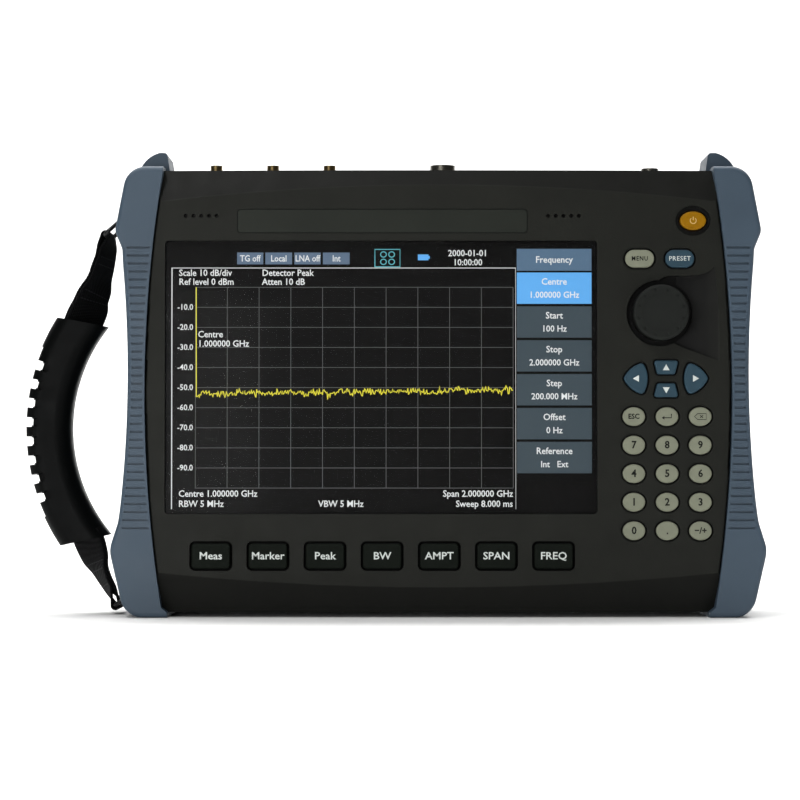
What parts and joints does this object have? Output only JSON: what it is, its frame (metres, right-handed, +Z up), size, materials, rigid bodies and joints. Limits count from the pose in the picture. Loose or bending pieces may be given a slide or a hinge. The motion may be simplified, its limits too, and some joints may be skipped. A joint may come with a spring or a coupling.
{
  "type": "spectrum analyzer",
  "caption": "Portable bench and field spectrum analyzer with colour screen, keypad, tuning knob, corner bumpers, folding rear stand and side hand strap.",
  "frame": {"origin": "centre of the case's flat underside, midway between the bumpers' feet", "axes": "+X to the user's right, +Y from the front panel to the back, +Z up with the instrument standing on its bumper feet"},
  "size_m": [0.3834, 0.087, 0.2402],
  "materials": {
    "panel_plastic": "fine textured dark olive grey moulding",
    "case_plastic": "fine textured dark grey moulding",
    "bumper_rubber": "soft satin slate blue rubber",
    "screen_glass": "clear hard coated cover glass",
    "display_black": "black display and plastic housings",
    "sheet_steel": "zinc plated sheet steel",
    "plate_plastic": "satin dark grey printed plate, left blank",
    "knob_rubber": "matt black soft touch",
    "key_beige": "matt beige silicone",
    "key_blue": "matt blue silicone",
    "key_black": "matt black silicone",
    "key_orange": "amber silicone, lit from behind",
    "circuit_board": "green solder mask",
    "shield_metal": "milled and passivated",
    "top_plate_metal": "black powder coat",
    "connector_nickel": "bright nickel",
    "connector_brass": "gold plated brass",
    "battery_plastic": "black shrink sleeve",
    "stand_plastic": "glass filled nylon",
    "screw_steel": "blackened steel",
    "strap_webbing": "black polyester webbing",
    "grip_rubber": "moulded black rubber",
    "ring_steel": "black lacquered wire"
  },
  "bodies": {
    "case": {"battery_door": "case_plastic", "battery_pack": "battery_plastic", "case_screws": "screw_steel", "door_screws": "screw_steel", "front_panel": "panel_plastic", "interface_ports": "connector_nickel", "keypad_board": "circuit_board", "keypad_membrane": "key_beige", "kickstand_pins": "screw_steel", "lcd_bracket": "sheet_steel", "lcd_module": "display_black", "left_bumper": "bumper_rubber", "main_board": "circuit_board", "name_plate": "plate_plastic", "power_inlet": "connector_nickel", "rear_case": "case_plastic", "rf_input_connector": "connector_nickel", "rf_module": "shield_metal", "right_bumper": "bumper_rubber", "rotary_encoder": "sheet_steel", "screen_glass": "screen_glass", "sma_connectors": "connector_brass", "speakers": "display_black", "strap_pins": "screw_steel", "top_plate": "top_plate_metal"},
    "stand": {"kickstand": "stand_plastic"},
    "strap": {"strap_grip": "grip_rubber", "strap_webbing": "strap_webbing", "strap_rings": "ring_steel"},
    "knob": {"tuning_knob": "knob_rubber", "encoder_shaft": "sheet_steel"},
    "power_button": {"power_button": "key_orange"},
    "menu_key": {"menu_key": "key_beige"},
    "key_escape": {"key_escape": "key_beige"},
    "key_enter": {"key_enter": "key_beige"},
    "key_backspace": {"key_backspace": "key_beige"},
    "key_7": {"key_7": "key_beige"},
    "key_8": {"key_8": "key_beige"},
    "key_9": {"key_9": "key_beige"},
    "key_4": {"key_4": "key_beige"},
    "key_5": {"key_5": "key_beige"},
    "key_6": {"key_6": "key_beige"},
    "key_1": {"key_1": "key_beige"},
    "key_2": {"key_2": "key_beige"},
    "key_3": {"key_3": "key_beige"},
    "key_0": {"key_0": "key_beige"},
    "key_point": {"key_point": "key_beige"},
    "key_sign": {"key_sign": "key_beige"},
    "preset_key": {"preset_key": "key_blue"},
    "arrow_up_key": {"arrow_up_key": "key_blue"},
    "arrow_down_key": {"arrow_down_key": "key_blue"},
    "arrow_left_key": {"arrow_left_key": "key_blue"},
    "arrow_right_key": {"arrow_right_key": "key_blue"},
    "soft_key_1": {"soft_key_1": "key_black"},
    "soft_key_2": {"soft_key_2": "key_black"},
    "soft_key_3": {"soft_key_3": "key_black"},
    "soft_key_4": {"soft_key_4": "key_black"},
    "soft_key_5": {"soft_key_5": "key_black"},
    "soft_key_6": {"soft_key_6": "key_black"},
    "soft_key_7": {"soft_key_7": "key_black"}
  },
  "joints": [
    {"name": "stand_hinge", "type": "hinge", "parent": "case", "child": "stand", "pos_m": [0, 0.0348, 0.15], "axis": [1, 0, 0], "range_deg": [0, 40]},
    {"name": "strap_swing", "type": "hinge", "parent": "case", "child": "strap", "pos_m": [-0.1575, 0, 0.1], "axis": [0, 0, 1], "range_deg": [-20, 20]},
    {"name": "knob_turn", "type": "hinge", "parent": "case", "child": "knob", "pos_m": [0.1135, -0.04, 0.1532], "axis": [0, -1, 0], "continuous": true},
    {"name": "power_button_press", "type": "slide", "parent": "case", "child": "power_button", "axis": [0, 1, 0], "range_m": [0, 0.001], "stiffness_N_per_m": 600},
    {"name": "menu_key_press", "type": "slide", "parent": "case", "child": "menu_key", "axis": [0, 1, 0], "range_m": [0, 0.001], "stiffness_N_per_m": 500},
    {"name": "key_escape_press", "type": "slide", "parent": "case", "child": "key_escape", "axis": [0, 1, 0], "range_m": [0, 0.001], "stiffness_N_per_m": 500},
    {"name": "key_enter_press", "type": "slide", "parent": "case", "child": "key_enter", "axis": [0, 1, 0], "range_m": [0, 0.001], "stiffness_N_per_m": 500},
    {"name": "key_backspace_press", "type": "slide", "parent": "case", "child": "key_backspace", "axis": [0, 1, 0], "range_m": [0, 0.001], "stiffness_N_per_m": 500},
    {"name": "key_7_press", "type": "slide", "parent": "case", "child": "key_7", "axis": [0, 1, 0], "range_m": [0, 0.001], "stiffness_N_per_m": 500},
    {"name": "key_8_press", "type": "slide", "parent": "case", "child": "key_8", "axis": [0, 1, 0], "range_m": [0, 0.001], "stiffness_N_per_m": 500},
    {"name": "key_9_press", "type": "slide", "parent": "case", "child": "key_9", "axis": [0, 1, 0], "range_m": [0, 0.001], "stiffness_N_per_m": 500},
    {"name": "key_4_press", "type": "slide", "parent": "case", "child": "key_4", "axis": [0, 1, 0], "range_m": [0, 0.001], "stiffness_N_per_m": 500},
    {"name": "key_5_press", "type": "slide", "parent": "case", "child": "key_5", "axis": [0, 1, 0], "range_m": [0, 0.001], "stiffness_N_per_m": 500},
    {"name": "key_6_press", "type": "slide", "parent": "case", "child": "key_6", "axis": [0, 1, 0], "range_m": [0, 0.001], "stiffness_N_per_m": 500},
    {"name": "key_1_press", "type": "slide", "parent": "case", "child": "key_1", "axis": [0, 1, 0], "range_m": [0, 0.001], "stiffness_N_per_m": 500},
    {"name": "key_2_press", "type": "slide", "parent": "case", "child": "key_2", "axis": [0, 1, 0], "range_m": [0, 0.001], "stiffness_N_per_m": 500},
    {"name": "key_3_press", "type": "slide", "parent": "case", "child": "key_3", "axis": [0, 1, 0], "range_m": [0, 0.001], "stiffness_N_per_m": 500},
    {"name": "key_0_press", "type": "slide", "parent": "case", "child": "key_0", "axis": [0, 1, 0], "range_m": [0, 0.001], "stiffness_N_per_m": 500},
    {"name": "key_point_press", "type": "slide", "parent": "case", "child": "key_point", "axis": [0, 1, 0], "range_m": [0, 0.001], "stiffness_N_per_m": 500},
    {"name": "key_sign_press", "type": "slide", "parent": "case", "child": "key_sign", "axis": [0, 1, 0], "range_m": [0, 0.001], "stiffness_N_per_m": 500},
    {"name": "preset_key_press", "type": "slide", "parent": "case", "child": "preset_key", "axis": [0, 1, 0], "range_m": [0, 0.001], "stiffness_N_per_m": 500},
    {"name": "arrow_up_key_press", "type": "slide", "parent": "case", "child": "arrow_up_key", "axis": [0, 1, 0], "range_m": [0, 0.001], "stiffness_N_per_m": 500},
    {"name": "arrow_down_key_press", "type": "slide", "parent": "case", "child": "arrow_down_key", "axis": [0, 1, 0], "range_m": [0, 0.001], "stiffness_N_per_m": 500},
    {"name": "arrow_left_key_press", "type": "slide", "parent": "case", "child": "arrow_left_key", "axis": [0, 1, 0], "range_m": [0, 0.001], "stiffness_N_per_m": 500},
    {"name": "arrow_right_key_press", "type": "slide", "parent": "case", "child": "arrow_right_key", "axis": [0, 1, 0], "range_m": [0, 0.001], "stiffness_N_per_m": 500},
    {"name": "soft_key_1_press", "type": "slide", "parent": "case", "child": "soft_key_1", "axis": [0, 1, 0], "range_m": [0, 0.001], "stiffness_N_per_m": 500},
    {"name": "soft_key_2_press", "type": "slide", "parent": "case", "child": "soft_key_2", "axis": [0, 1, 0], "range_m": [0, 0.001], "stiffness_N_per_m": 500},
    {"name": "soft_key_3_press", "type": "slide", "parent": "case", "child": "soft_key_3", "axis": [0, 1, 0], "range_m": [0, 0.001], "stiffness_N_per_m": 500},
    {"name": "soft_key_4_press", "type": "slide", "parent": "case", "child": "soft_key_4", "axis": [0, 1, 0], "range_m": [0, 0.001], "stiffness_N_per_m": 500},
    {"name": "soft_key_5_press", "type": "slide", "parent": "case", "child": "soft_key_5", "axis": [0, 1, 0], "range_m": [0, 0.001], "stiffness_N_per_m": 500},
    {"name": "soft_key_6_press", "type": "slide", "parent": "case", "child": "soft_key_6", "axis": [0, 1, 0], "range_m": [0, 0.001], "stiffness_N_per_m": 500},
    {"name": "soft_key_7_press", "type": "slide", "parent": "case", "child": "soft_key_7", "axis": [0, 1, 0], "range_m": [0, 0.001], "stiffness_N_per_m": 500}
  ]
}
